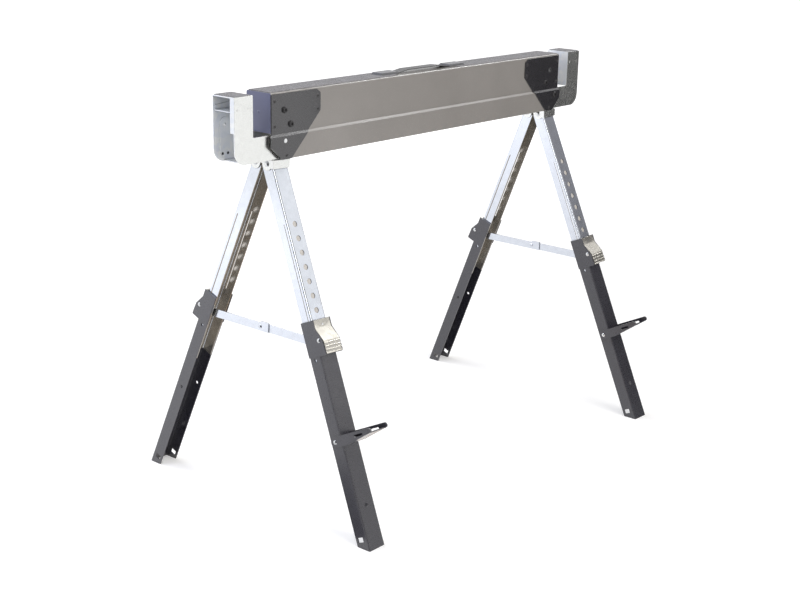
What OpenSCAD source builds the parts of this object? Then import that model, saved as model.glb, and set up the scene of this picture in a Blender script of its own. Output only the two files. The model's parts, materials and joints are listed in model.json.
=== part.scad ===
// Builders trestle: a folding steel sawhorse with height-adjustable legs.
// X runs along the beam, Y from front legs (minus) to back legs (plus), Z up.
// The origin is on the floor under the middle of the beam.

/* [Beam] */
// Height of the working surface above the floor with the legs fully out
working_height = 800; // [780:1:820]
// Length of the beam between its two end caps
beam_l = 900; // [800:1:1100]
// Width of the beam over its upper walls
beam_w = 61; // [61:0.5:70]
// Height of the beam from its sheet top to its open lower edge
beam_h = 123; // [120:1:130]
// How far the lower walls step outward below the crease
beam_step = 3.5; // [3.5:0.1:5]
// Drop of the crease below the sheet top
crease_drop = 76; // [72:1:78]
// Height of the sloped part of the crease
crease_h = 4; // [3:0.5:8]
// Sheet thickness of the beam
beam_sheet = 1.5; // [1.2:0.1:2]
// Bend radius on the two top edges of the beam
beam_bend = 3; // [2:0.5:4]
// Thickness of the grip tape
tape_t = 1.2; // [0.8:0.1:2]
// Margin between the grip tape and the sheet edges
tape_margin = 2.5; // [2:0.5:6]
// Thickness of each end cap
cap_t = 1.6; // [1.2:0.1:3]
// Gap between the end cap and the arm of the bracket below it
cap_gap = 3; // [2:0.5:6]

/* [Corner plates] */
// Thickness of the four reinforcing plates
plate_t = 2; // [1.5:0.1:3]
// Length of a plate along the beam
plate_l = 128; // [110:1:150]
// Chamfer on the inner top corner of a plate
plate_chamfer = 10; // [6:1:16]
// Straight height of the inner edge of a plate below the chamfer
plate_edge = 33; // [20:1:45]
// Distance from the beam end to the inner end of the plate's lower edge
plate_foot_in = 49; // [45:1:60]
// Distance from the beam end to the outer end of the plate's lower edge
plate_foot_out = 24; // [20:1:30]
// How far the lower part of a plate reaches past the beam end
plate_over = 3; // [1:0.5:4]
// Height of the chamfer on the plate's outer lower corner
plate_corner = 25; // [15:1:30]
// Radius of the small rivet heads on the plates
rivet_r = 3.2; // [2.4:0.1:3.6]
// Height of the small rivet heads on the plates
rivet_h = 1.2; // [0.8:0.1:2]
// Inset of the outer rivets from the beam end
rivet_out = 9; // [7:0.5:14]
// Inset of the inner rivets from the inner plate edge
rivet_in = 7; // [6:0.5:12]
// Drop of the upper rivets below the beam top
rivet_drop = 15.5; // [12:0.5:20]
// Drop of the lower outer rivet below the beam top
rivet_low_drop = 61; // [50:0.5:66]

/* [Swing bolts] */
// Distance of the upper bolt position from the beam end
bolt_a_in = 34; // [33:0.5:38]
// Drop of the upper bolt position below the beam top
bolt_a_drop = 33; // [32:0.5:36]
// Distance of the middle bolt position from the beam end
bolt_b_in = 50; // [49:0.5:54]
// Drop of the middle bolt position below the beam top
bolt_b_drop = 60; // [58:0.5:62]
// Distance of the lower pivot bolt from the right beam end
bolt_c_in = 18.5; // [18:0.5:22]
// Distance of the lower open hole from the left beam end
hole_c_in = 34; // [30:0.5:38]
// Drop of the lower bolt position below the beam top
bolt_c_drop = 89; // [86:0.5:92]
// Shank radius of the bolts
bolt_r = 4; // [3:0.1:5]
// Head radius of the bolts
bolt_head_r = 6; // [5:0.1:7]
// Head height of the bolts
bolt_head_h = 3.4; // [2.5:0.1:5]
// Corner radius of the hexagon socket in the bolt heads
socket_r = 2.9; // [2:0.1:3.5]
// Depth of the hexagon socket
socket_depth = 2; // [1:0.1:2.4]
// Radius of the open holes in the plates
open_hole_r = 4.6; // [3.5:0.1:6]

/* [End brackets] */
// Clear width of the slot that takes a 2 by 4 on edge
slot_w = 40; // [39:0.5:46]
// Length of the bracket post along the beam direction
post_l = 45; // [38:1:60]
// Clearance between a bracket and the inside of the upper beam walls
bracket_gap = 0.8; // [0.5:0.1:1.2]
// Sheet thickness of the brackets
bracket_sheet = 2; // [1.5:0.1:2.5]
// Radius of the outer lower corner of a bracket
bracket_corner = 25; // [15:1:35]
// Depth of the in-turned lip on the outer edge of the front post plate
lip_w = 9; // [6:0.5:14]
// Height of the in-turned lip measured from the top
lip_h = 64; // [40:1:80]
// Radius of the bracket plate around the upper pivot
lobe_r = 29; // [27:0.5:30]
// Drop of the shelf below the bracket top
shelf_drop = 28; // [20:1:36]
// Height of the upturned shelf flanges at their outer end
shelf_flange = 9.5; // [8:0.5:14]
// How much higher the shelf flanges stand at their inner end
shelf_rise = 3.5; // [1:0.5:5]
// Sheet thickness of the shelf
shelf_sheet = 1.5; // [1:0.1:2]
// Width of the raised rib on the back plate of a post
rib_w = 24; // [18:1:30]
// Height of the raised rib
rib_h = 72; // [50:1:80]
// Height the rib stands off the plate
rib_t = 1.5; // [1:0.1:2.5]
// Radius of the two small holes at the rib foot
rib_hole_r = 2.2; // [1.5:0.1:3]
// Distance between the two small holes
rib_hole_gap = 13; // [10:0.5:15]
// Drop of the rib's rivet below its upper end
rib_rivet_drop = 14; // [12:0.5:20]
// Radius of the weld dots on the post plates
weld_r = 4; // [3:0.1:5]
// Height of the weld dots
weld_h = 0.5; // [0.3:0.05:0.7]

/* [Leg pairs] */
// Distance from the beam end to the middle of a leg pair
hinge_in = 27; // [25:0.5:30]
// Distance of the leg hinge pins below the beam's lower edge
hinge_below = 8.4; // [7:0.2:10]
// Clearance between the open edges of the closed front and back legs
leg_gap = 0.6; // [0.4:0.1:2]
// Spread of each leg from upright, seen along the beam
leg_tilt = 22.5; // [20:0.1:24]
// Outward splay of the leg pairs, seen from the front
leg_splay = 2.5; // [1:0.1:4]
// Radius of the leg hinge pins
pin_r = 4; // [3:0.1:4.5]
// Sheet thickness of the leg hangers
hanger_sheet = 1.6; // [1.2:0.1:2]
// Clearance between a hanger and the inside of the lower beam walls
hanger_gap = 0.5; // [0.3:0.1:1]
// Height of the hanger walls below the beam edge
hanger_wall = 16; // [10:0.5:16]
// Radius of the hanger lobes around the hinge pins
hanger_lobe = 12.5; // [10:0.5:13]

/* [Legs] */
// Outer width of a lower leg
leg_w = 42; // [38:0.5:44]
// Depth of a lower leg from its web to its open edge
leg_d = 27.5; // [26:0.5:28]
// Sheet thickness of the legs
leg_sheet = 1.6; // [1.4:0.1:1.8]
// Running gap between upper and lower leg
slide_gap = 0.35; // [0.3:0.05:0.5]
// Depth of the hinge pin behind the lower leg's outer face
pivot_depth = 12.6; // [12:0.2:13]
// Outer bend radius of the upper legs
upper_bend = 3.2; // [2.6:0.1:5]
// Outer bend radius of the lower legs
lower_bend = 2.2; // [2:0.1:4]
// Distance from the hinge pin to the first height hole
hole_first = 118; // [114:1:124]
// Pitch of the height holes
hole_pitch = 27; // [26:0.1:28]
// Number of height holes in each upper leg
hole_n = 8; // [5:1:8]
// Radius of the height holes
hole_r = 5.5; // [5:0.1:6]
// Overlap of the upper leg inside the lower leg with the legs fully out
leg_overlap = 146; // [134:1:154]
// Distance of the lock hole below the top of the lower leg
lock_down = 10; // [9:0.5:12]
// Depth of the guide slot behind the lower leg's outer face
guide_depth = 10; // [9:0.5:11]
// Half width of the guide slot
guide_half = 1.1; // [1:0.1:1.6]
// Radius of the guide stud that runs in the slot
stud_r = 0.9; // [0.6:0.05:0.95]
// Height of the foot cut-outs above the floor end
foot_hole_up = 18; // [14:1:26]
// Width of the rectangular foot cut-outs
foot_hole_w = 12.5; // [8:0.5:15]
// Height of the rectangular foot cut-outs
foot_hole_h = 9; // [5:0.5:11]
// Radius of the small round holes in the lower legs
small_hole_r = 3.2; // [2:0.1:4]
// Radius of the hole in the web of the lower legs
web_hole_r = 4; // [3:0.1:5]
// Distance of the web hole above the floor end
web_hole_up = 82; // [60:1:100]

/* [Height latches] */
// Sheet thickness of the latch clips
clip_sheet = 1.6; // [1.4:0.1:1.8]
// Length of a clip along the leg
clip_l = 66; // [64:1:68]
// Depth of the clip past the leg's open edge
clip_back = 0.8; // [0:0.1:1]
// Reach of the clip ears in front of the leg at the lower end
ear_reach = 17; // [15:0.5:18]
// Reach of the clip ears in front of the leg at the upper end
ear_top = 4.4; // [4:0.1:5]
// Distance of the lever pin below the clip top
lever_pin_down = 38; // [36:0.5:40]
// Distance of the lever pin in front of the leg
lever_pin_out = 6.6; // [6.4:0.1:7]
// Radius of the lever pin
lever_pin_r = 2; // [1.6:0.1:2.2]
// Running gap around pins and levers
run_gap = 0.06; // [0.03:0.01:0.1]
// Side gap between the lever and the ears
lever_gap = 0.6; // [0.4:0.1:1.2]
// Sheet thickness of the levers
lever_t = 2; // [1.6:0.1:2.2]
// Radius of the thumb ridges on the levers
ridge_r = 1.2; // [0.8:0.1:1.4]
// Number of thumb ridges
ridge_n = 4; // [2:1:4]
// Distance between the thumb ridges
ridge_pitch = 6.4; // [5.5:0.1:6.6]
// Play of a lock pin in its hole, on the radius
lock_play = 1.3; // [1.2:0.1:1.8]
// Radius of the hole near the top of each lever
lever_hole_r = 2; // [1.2:0.1:2.4]

/* [Braces] */
// Distance of the brace stud above the lower end of the upper leg
brace_up = 105; // [95:0.5:112]
// Depth of the brace stud behind the lower leg's outer face
brace_depth = 14.5; // [14:0.1:15]
// Height of the brace links
link_h = 16; // [14:0.5:17]
// Sheet thickness of the brace links
link_t = 2; // [1.6:0.1:2.2]
// Offset of the back link's outer face from the leg middle
link_off = 13; // [12.6:0.1:13.4]
// Gap between the two lapped links
link_gap = 0.4; // [0.3:0.05:0.6]
// How far the back link laps past the knuckle
link_lap = 21; // [16:0.5:26]
// Radius of the brace studs
brace_stud_r = 3; // [2.5:0.1:3.4]
// Radius of the knuckle rivet heads
knuckle_r = 4.2; // [3:0.1:5]
// Height of the knuckle rivet heads
knuckle_h = 1.6; // [1:0.1:2.2]

/* [Support arms] */
// Distance of the arm pivot above the floor end of the leg
arm_up = 206; // [195:1:215]
// Depth of the arm pivot behind the leg's outer face
arm_depth = 15.5; // [15:0.1:16]
// Length from the arm pivot to its tip
arm_l = 95; // [85:1:110]
// Height of the arm side plates at the leg
arm_h = 20; // [19:0.5:22]
// Height of the arm side plates at the tip
arm_tip_h = 10; // [8:0.5:12]
// Length of the level lower edge in front of the leg
arm_stop = 14; // [8:1:20]
// Upward slant of a folded-out arm from square to its leg
arm_rise = 4; // [0:0.5:6]
// Sheet thickness of the arms
arm_sheet = 2.2; // [1.8:0.1:2.6]
// Gap between the arm plates and the leg
arm_gap = 0.5; // [0.4:0.1:0.8]
// Length of the oblong slots in the arm plates
arm_slot_l = 22; // [14:1:28]
// Half height of the oblong slots
arm_slot_half = 2.2; // [1.5:0.1:3]
// Radius of the arm pivot rivets
arm_pin_r = 3; // [2.4:0.1:3.4]

/* [Handle] */
// Distance between the two handle fixings
handle_l = 210; // [180:1:240]
// Width of the handle strap
strap_w = 22; // [16:1:28]
// Thickness of the handle strap
strap_t = 2; // [1.6:0.1:3]
// Rise of the strap over the beam top
strap_rise = 6.5; // [6:0.5:9]
// Length of the handle end caps
handle_cap_l = 48; // [40:1:56]
// Height of the handle end caps
handle_cap_h = 5.4; // [4.5:0.1:6]
// How far the grip strips reach along the handle end caps
grip_notch = 32; // [20:1:38]

/* [Hidden] */
$fn = 48;
// Overrun of every cut past the face it opens
cut = 1;
// Angle of the stop bolt's open path through a bracket plate, a full fold and its run-out
stop_turn = 115;
// Place of the post rib across the post, from its outer edge
rib_share = 0.58;
// Places of the weld dots across the post, from its outer edge
weld_shares = [0.2, 0.78];
// Heights of the two bends of a clip ear and its lever below the clip top, in clip lengths
ear_shares = [0.25, 0.6];
// Place of the oblong slot along a support arm, from its tip
arm_slot_share = 0.34;
// Length of the handle's ramp at each end, in spans
ramp_share = 0.2;
// Height of the straight rim of a bolt head
rim_share = 0.33;
LEFT = -1;
RIGHT = 1;
FRONT = -1;
BACK = 1;

// Beam levels and half widths
beam_top = working_height - tape_t;
beam_low = beam_top - beam_h;
crease_hi = beam_top - crease_drop;
crease_lo = crease_hi - crease_h;
half_up = beam_w / 2;
half_lo = half_up + beam_step;
beam_end = beam_l / 2;
shell_l = beam_l - 2 * cap_t;
cap_low = crease_hi + cap_gap;
plate_top = beam_top - beam_bend;
handle_cap_w = strap_w + 2 * cap_t;

// Bracket levels
bracket_half = half_up - beam_sheet - bracket_gap;
bracket_w = 2 * bracket_half;
post_in = beam_end + slot_w;
post_out = post_in + post_l;
arm_top = crease_hi;
bracket_low = beam_low + plate_t / 2;

// Leg pair frame
hinge_x = beam_end - hinge_in;
hinge_drop = beam_h + hinge_below;
hinge_z = beam_top - hinge_drop;
hinge_gap = 2 * (leg_d - pivot_depth) + leg_gap;
leg_run = (hinge_z / cos(leg_splay) + pivot_depth * sin(leg_tilt)) / cos(leg_tilt);

// Upper leg section
upper_face = leg_sheet + slide_gap;
upper_w = leg_w - 2 * upper_face;
upper_d = leg_d - upper_face;
upper_top = pivot_depth - slide_gap;
leg_half = leg_w / 2;
upper_half = upper_w / 2;

// Hanger
hanger_half = upper_half + lever_gap + hanger_sheet;
hanger_tongue = hinge_drop - bolt_c_drop + hanger_sheet;
hanger_neck = bracket_half - bracket_sheet;
hanger_wall_top = hinge_below - slide_gap;
hanger_d = 2 * (half_lo - beam_sheet - hanger_gap);

// Latch positions along the leg, from the hinge pin
lock_at = -(hole_first + (hole_n - 1) * hole_pitch);
clip_top = lock_at + lock_down;
lower_top = -clip_top;
upper_l = lower_top + leg_overlap;
lock_r = hole_r - lock_play;
lever_pin_at = clip_top - lever_pin_down;
lever_half = leg_half - lever_gap;

// Braces
brace_down = upper_l - brace_up;
link_stud_y = hinge_gap / 2 - (brace_depth - pivot_depth) * cos(leg_tilt) + brace_down * sin(leg_tilt);
link_stud_z = -(brace_depth - pivot_depth) * sin(leg_tilt) - brace_down * cos(leg_tilt);
link_half = link_h / 2;

// Support arms
arm_at = arm_up - leg_run;
arm_half = leg_half + arm_gap + arm_sheet;
arm_low = arm_h / 2;

// One leg pair's frame, at its hinge line and splayed outward
module pair_frame(side) {
  translate([side * hinge_x, 0, hinge_z])
    rotate([0, -side * leg_splay, 0])
      children();
}

// One leg's frame: X across, Y inward from the outer face, Z up along the leg from the hinge pin
module leg_frame(side, fb) {
  pair_frame(side)
    mirror([0, fb > 0 ? 1 : 0, 0])
      translate([0, -hinge_gap / 2, 0])
        rotate([-leg_tilt, 0, 0])
          translate([0, -pivot_depth, 0])
            children();
}

// Draws a YZ section and runs it along X, centred
module along_x(length) {
  rotate([90, 0, 90])
    linear_extrude(height = length, center = true)
      children();
}

// Draws an XZ section and runs it along Y, centred
module along_y(length) {
  rotate([90, 0, 0])
    linear_extrude(height = length, center = true)
      children();
}

// A round bar along X, centred
module bar_x(r, length) {
  rotate([0, 90, 0])
    cylinder(r = r, h = length, center = true);
}

// A round bar along Y, centred
module bar_y(r, length) {
  rotate([90, 0, 0])
    cylinder(r = r, h = length, center = true);
}

// A box centred across X with its front face at y and its low face at z
module box_at(width, y, depth, z, height) {
  translate([-width / 2, y, z])
    cube([width, depth, height]);
}

// Section of one beam skin, with round top bends
module beam_skin(up, lo, top, low, bend) {
  difference() {
    polygon([[-lo, low], [-lo, crease_lo], [-up, crease_hi], [-up, top], [up, top], [up, crease_hi],
      [lo, crease_lo], [lo, low]]);
    for (s = [0, 1])
      mirror([s, 0])
        translate([up - bend, top - bend])
          difference() {
            square([bend + cut, bend + cut]);
            circle(r = bend);
          }
  }
}

// The bolt and hole positions of both beam ends, as [x, z, r]
function bolt_spots() = [
  [LEFT * (beam_end - bolt_a_in), beam_top - bolt_a_drop, bolt_r + run_gap],
  [LEFT * (beam_end - bolt_b_in), beam_top - bolt_b_drop, bolt_r + run_gap],
  [LEFT * (beam_end - hole_c_in), beam_top - bolt_c_drop, open_hole_r],
  [RIGHT * (beam_end - bolt_a_in), beam_top - bolt_a_drop, open_hole_r],
  [RIGHT * (beam_end - bolt_b_in), beam_top - bolt_b_drop, bolt_r + run_gap],
  [RIGHT * (beam_end - bolt_c_in), beam_top - bolt_c_drop, bolt_r + run_gap]];

module bolt_cuts() {
  for (b = bolt_spots())
    translate([b[0], 0, b[1]])
      bar_y(b[2], 2 * (half_lo + plate_t + cut));
}

// Channel shell, its lower corners cut away behind the slanted plate corners
module beam_shell() {
  color("#8f8b86")
    difference() {
      along_x(shell_l)
        beam_skin(half_up, half_lo, beam_top, beam_low, beam_bend);
      along_x(shell_l + 2 * cut)
        beam_skin(half_up - beam_sheet, half_lo - beam_sheet, beam_top - beam_sheet, beam_low - cut,
          beam_bend - beam_sheet);
      for (s = [0, 1])
        mirror([s, 0, 0])
          along_y(2 * (half_lo + cut))
            polygon([[-beam_end - cut, beam_low + plate_corner], [-beam_end, beam_low + plate_corner],
              [-beam_end + plate_foot_out + plate_over, beam_low],
              [-beam_end + plate_foot_out + plate_over, beam_low - cut], [-beam_end - cut, beam_low - cut]]);
      bolt_cuts();
    }
}

// Two strips of tape, each notched round one end cap of the handle
module grip_strips() {
  cap_out = (handle_l + handle_cap_l) / 2;
  strip_in = cap_out - grip_notch;
  notch_half = handle_cap_w / 2 + tape_margin;
  color("#77767a")
    for (s = [0, 1])
      mirror([s, 0, 0])
        translate([strip_in, 0, beam_top])
          difference() {
            translate([0, -half_up + beam_bend, 0])
              cube([beam_end - tape_margin - strip_in, 2 * (half_up - beam_bend), tape_t]);
            translate([-cut, -notch_half, -cut])
              cube([grip_notch + tape_margin + cut, 2 * notch_half, tape_t + 2 * cut]);
          }
}

// Flat caps over the upper beam ends, each with a tab turned in under the beam top
module end_caps() {
  cap_half = half_up - slide_gap;
  tab_half = strap_w;
  tab_l = plate_chamfer;
  tab_low = beam_top - beam_sheet - slide_gap - cap_t;
  color("#5c5f75")
    for (s = [LEFT, RIGHT])
      mirror([s > 0 ? 1 : 0, 0, 0])
        translate([-beam_end, 0, 0])
          difference() {
            union() {
              translate([0, -cap_half, cap_low])
                cube([cap_t, 2 * cap_half, beam_top - slide_gap - cap_low]);
              translate([0, -tab_half, tab_low])
                cube([tab_l, 2 * tab_half, cap_t]);
            }
            translate([0, 0, (beam_top + cap_low) / 2])
              bar_x(rivet_r / 2 + run_gap, 4 * cap_t);
          }
}

module dome(r, h) {
  intersection() {
    translate([0, 0, h - (r * r + h * h) / (2 * h)])
      sphere(r = (r * r + h * h) / (2 * h));
    cylinder(r = r, h = 2 * h);
  }
}

module cap_rivets() {
  color("#c9c9c6")
    for (s = [LEFT, RIGHT])
      translate([s * beam_end, 0, (beam_top + cap_low) / 2])
        rotate([0, s * 90, 0]) {
          dome(rivet_r, rivet_h);
          translate([0, 0, -cap_t])
            cylinder(r = rivet_r / 2, h = cap_t);
        }
}

// Five-sided plate outline on the left end, as [x, z]
function plate_outline() = [
  [-beam_end + cap_t, plate_top],
  [-beam_end + plate_l - plate_chamfer, plate_top],
  [-beam_end + plate_l, beam_top - plate_chamfer],
  [-beam_end + plate_l, beam_top - plate_chamfer - plate_edge],
  [-beam_end + plate_foot_in, beam_low],
  [-beam_end + plate_foot_out, beam_low],
  [-beam_end - plate_over, beam_low + plate_corner],
  [-beam_end - plate_over, crease_lo],
  [-beam_end + cap_t, crease_hi]];

// Section of a plate folded over the crease on the front wall
module plate_section() {
  polygon([[-half_up, beam_top], [-half_up, crease_hi], [-half_lo, crease_lo], [-half_lo, beam_low - cut],
    [-half_lo - plate_t, beam_low - cut], [-half_lo - plate_t, crease_lo], [-half_up - plate_t, crease_hi],
    [-half_up - plate_t, beam_top]]);
}

module corner_plate(side, fb) {
  color("#3f3e40")
    difference() {
      mirror([side > 0 ? 1 : 0, 0, 0])
        mirror([0, fb > 0 ? 1 : 0, 0])
          intersection() {
            translate([-beam_end + plate_l / 2, 0, 0])
              along_x(plate_l + 2 * plate_over + cut) plate_section();
            translate([0, -half_up, 0])
              along_y(2 * half_up) polygon(plate_outline());
          }
      bolt_cuts();
    }
}
module plate_front_left() { corner_plate(LEFT, FRONT); }
module plate_front_right() { corner_plate(RIGHT, FRONT); }
module plate_back_left() { corner_plate(LEFT, BACK); }
module plate_back_right() { corner_plate(RIGHT, BACK); }

// Rivet places on the left front plate, as [x, z, wall face]
function rivet_spots() = [
  [-beam_end + rivet_out, beam_top - rivet_drop, half_up],
  [-beam_end + rivet_out, beam_top - rivet_low_drop, half_up],
  [-beam_end + plate_l - rivet_in, beam_top - rivet_drop, half_up],
  [-beam_end + plate_l - rivet_in, beam_top - plate_chamfer - plate_edge + rivet_r, half_up],
  [-beam_end + (plate_foot_in + plate_foot_out) / 2, beam_low + rivet_in, half_lo]];

module plate_rivets() {
  color("#6a6a6c")
    for (s = [0, 1])
      for (f = [0, 1])
        mirror([s, 0, 0])
          mirror([0, f, 0])
            for (p = rivet_spots())
              translate([p[0], -p[2] - plate_t, p[1]])
                rotate([90, 0, 0])
                  dome(rivet_r, rivet_h);
}

// A bolt across the whole beam with a socket head on each side, seated on the plates
module cross_bolt(face) {
  difference() {
    union() {
      bar_y(bolt_r, 2 * face);
      for (s = [0, 1])
        mirror([0, s, 0])
          translate([0, -face, 0])
            rotate([90, 0, 0])
              dome_head();
    }
    for (s = [0, 1])
      mirror([0, s, 0])
        translate([0, -face - bolt_head_h + socket_depth, 0])
          rotate([90, 0, 0])
            cylinder(r = socket_r, h = socket_depth + cut, $fn = 6);
  }
}

module dome_head() {
  rim = bolt_head_h * rim_share;
  cylinder(r = bolt_head_r, h = rim);
  translate([0, 0, rim])
    cylinder(r1 = bolt_head_r, r2 = bolt_head_r - rim, h = bolt_head_h - rim);
}

module swing_bolt_left() {
  color("#2f2f31")
    translate([LEFT * (beam_end - bolt_a_in), 0, beam_top - bolt_a_drop])
      cross_bolt(half_up + plate_t);
}

module swing_bolt_right() {
  color("#2f2f31")
    translate([RIGHT * (beam_end - bolt_c_in), 0, beam_top - bolt_c_drop])
      cross_bolt(half_lo + plate_t);
}

module stop_bolts() {
  color("#2f2f31")
    for (s = [LEFT, RIGHT])
      translate([s * (beam_end - bolt_b_in), 0, beam_top - bolt_b_drop])
        cross_bolt(half_up + plate_t);
}

// A low arched strap whose ends lie flat under the two end caps
module handle_strap() {
  flat = handle_cap_l - cap_t;
  span = handle_l - handle_cap_l;
  ramp = span * ramp_share;
  lift = strap_rise - strap_t;
  color("#4a4a4c")
    along_y(strap_w)
      polygon([[-span / 2 - flat, beam_top], [-span / 2, beam_top], [-span / 2 + ramp, beam_top + lift],
        [span / 2 - ramp, beam_top + lift], [span / 2, beam_top], [span / 2 + flat, beam_top],
        [span / 2 + flat, beam_top + strap_t], [span / 2, beam_top + strap_t],
        [span / 2 - ramp, beam_top + lift + strap_t], [-span / 2 + ramp, beam_top + lift + strap_t],
        [-span / 2, beam_top + strap_t], [-span / 2 - flat, beam_top + strap_t]]);
}

// Box caps over the strap ends, open toward the middle
module handle_caps() {
  color("#55565a")
    for (s = [0, 1])
      mirror([s, 0, 0])
        translate([-handle_l / 2 - handle_cap_l / 2, 0, beam_top])
          difference() {
            translate([0, -handle_cap_w / 2, 0])
              cube([handle_cap_l, handle_cap_w, handle_cap_h]);
            translate([cap_t, -strap_w / 2, -cut])
              cube([handle_cap_l, strap_w, strap_t + cut]);
          }
}

// Path the middle bolt takes through a bracket plate as the bracket swings about its pivot
module stop_path(pivot, stop, turn) {
  dx = stop[0] - pivot[0];
  dz = stop[1] - pivot[1];
  reach = norm([dx, dz]);
  start = atan2(dz, dx);
  clear_r = bolt_r + slide_gap;
  span = reach + 2 * clear_r;
  translate(pivot) {
    intersection() {
      difference() {
        circle(r = reach + clear_r);
        circle(r = reach - clear_r);
      }
      polygon([[0, 0], [2 * span * cos(start), 2 * span * sin(start)],
        [2 * span * cos(start - turn / 2), 2 * span * sin(start - turn / 2)],
        [2 * span * cos(start - turn), 2 * span * sin(start - turn)]]);
    }
    translate([dx, dz])
      circle(r = clear_r + 2 * slide_gap);
  }
}

// Plate outline of a bracket in left-end coordinates, as X against Z
module bracket_outline(side) {
  a_spot = [-beam_end + bolt_a_in, beam_top - bolt_a_drop];
  b_spot = [-beam_end + bolt_b_in, beam_top - bolt_b_drop];
  c_spot = [-beam_end + bolt_c_in, beam_top - bolt_c_drop];
  pivot = side < 0 ? a_spot : c_spot;
  inner_end = side < 0 ? a_spot[0] + lobe_r : b_spot[0];
  difference() {
    union() {
      translate([-post_out, bracket_low + bracket_corner])
        square([post_l, beam_top - bracket_low - bracket_corner]);
      translate([-post_out + bracket_corner, bracket_low])
        square([post_out - bracket_corner + inner_end, arm_top - bracket_low]);
      translate([-post_out, bracket_low + bracket_corner])
        square([post_out + inner_end, arm_top - bracket_low - bracket_corner]);
      translate([-post_out + bracket_corner, bracket_low + bracket_corner])
        circle(r = bracket_corner);
      if (side < 0) {
        translate([a_spot[0] - lobe_r, arm_top - cut])
          square([2 * lobe_r, a_spot[1] - arm_top + cut]);
        translate(a_spot)
          circle(r = lobe_r);
      }
      if (side > 0)
        translate(c_spot)
          circle(r = beam_h / 6);
    }
    stop_path(pivot, b_spot, stop_turn);
    translate(pivot)
      circle(r = bolt_r + run_gap);
  }
}

// Stadium outline of the raised rib on a post plate
module rib_outline() {
  mid = -post_out + post_l * rib_share;
  low = bracket_low + bracket_sheet * 4;
  translate([mid - rib_w / 2, low + rib_w / 2])
    square([rib_w, rib_h - rib_w]);
  for (z = [low + rib_w / 2, low + rib_h - rib_w / 2])
    translate([mid, z])
      circle(r = rib_w / 2);
}

// Places of the two small holes at the rib foot, as [x, z]
function rib_hole_spots() = [
  for (s = [-1, 1]) [-post_out + post_l * rib_share + s * rib_hole_gap / 2,
    bracket_low + bracket_sheet * 4 + rib_w / 4]];

module rib_holes() {
  for (h = rib_hole_spots())
    translate(h)
      circle(r = rib_hole_r);
}

// J-shaped end bracket: a plain front plate with a lip, a ribbed back plate, a post wall, a top and a floor
module end_bracket(side) {
  inner_half = bracket_half - bracket_sheet;
  color("#d9dcda")
    mirror([side > 0 ? 1 : 0, 0, 0]) {
      translate([0, -bracket_half + bracket_sheet / 2, 0])
        along_y(bracket_sheet) bracket_outline(side);
      translate([-post_out, -inner_half - cut / 2, beam_top - lip_h])
        cube([bracket_sheet, lip_w + cut / 2, lip_h]);
      translate([0, bracket_half - bracket_sheet / 2, 0])
        along_y(bracket_sheet)
          difference() {
            bracket_outline(side);
            rib_holes();
          }
      translate([0, inner_half - rib_t / 2, 0])
        along_y(rib_t)
          difference() {
            rib_outline();
            rib_holes();
          }
      translate([-post_out + post_l * rib_share, inner_half - rib_t,
        bracket_low + bracket_sheet * 4 + rib_h - rib_rivet_drop])
        rotate([90, 0, 0])
          dome(rivet_r, rivet_h);
      for (f = [0, 1])
        mirror([0, f, 0])
          for (w = weld_shares)
            translate([-post_out + post_l * w, -bracket_half, beam_top - shelf_drop + shelf_flange / 2])
              rotate([90, 0, 0])
                dome(weld_r, weld_h);
      translate([-post_in - bracket_sheet, -inner_half - cut / 2, arm_top])
        cube([bracket_sheet, 2 * inner_half + cut, beam_top - arm_top]);
      translate([-post_out, -inner_half - cut / 2, beam_top - bracket_sheet])
        cube([post_l, 2 * inner_half + cut, bracket_sheet]);
      translate([-post_out + bracket_corner, -inner_half - cut / 2, bracket_low])
        cube([post_out - bracket_corner - hinge_x - hanger_half - bracket_sheet, 2 * inner_half + cut,
          bracket_sheet]);
    }
}
module bracket_left() { end_bracket(LEFT); }
module bracket_right() { end_bracket(RIGHT); }

// Two blackened screws through the foot of the post rib, heads inside the post
module post_screws(side) {
  grip = bracket_sheet + rib_t;
  color("#202022")
    mirror([side > 0 ? 1 : 0, 0, 0])
      for (h = rib_hole_spots())
        translate([h[0], bracket_half, h[1]])
          rotate([90, 0, 0]) {
            cylinder(r = rib_hole_r - run_gap, h = grip);
            translate([0, 0, grip])
              dome(rib_hole_r + rivet_h / 2, rivet_h);
          }
}
module post_screws_left() { post_screws(LEFT); }
module post_screws_right() { post_screws(RIGHT); }

// Tray inside the post, spot welded by its upturned flanges
module post_shelf(side) {
  inner_half = bracket_half - bracket_sheet;
  tray_l = post_l - 2 * bracket_sheet - 2 * slide_gap;
  color("#cfd3d1")
    mirror([side > 0 ? 1 : 0, 0, 0])
      translate([-post_in - bracket_sheet - slide_gap - tray_l, 0, beam_top - shelf_drop]) {
        translate([0, -inner_half, 0])
          cube([tray_l, 2 * inner_half, shelf_sheet]);
        for (f = [0, 1])
          mirror([0, f, 0])
            translate([0, -inner_half + shelf_sheet / 2, 0])
              along_y(shelf_sheet)
                polygon([[0, 0], [tray_l, 0], [tray_l, shelf_flange + shelf_rise], [0, shelf_flange]]);
      }
}
module shelf_left() { post_shelf(LEFT); }
module shelf_right() { post_shelf(RIGHT); }

module bracket_grip(side) {
  color("#77767a")
    mirror([side > 0 ? 1 : 0, 0, 0])
      translate([-post_out + tape_margin, -bracket_half + tape_margin, beam_top])
        cube([post_l - 2 * tape_margin, bracket_w - 2 * tape_margin, tape_t]);
}
module bracket_grip_left() { bracket_grip(LEFT); }
module bracket_grip_right() { bracket_grip(RIGHT); }

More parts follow.
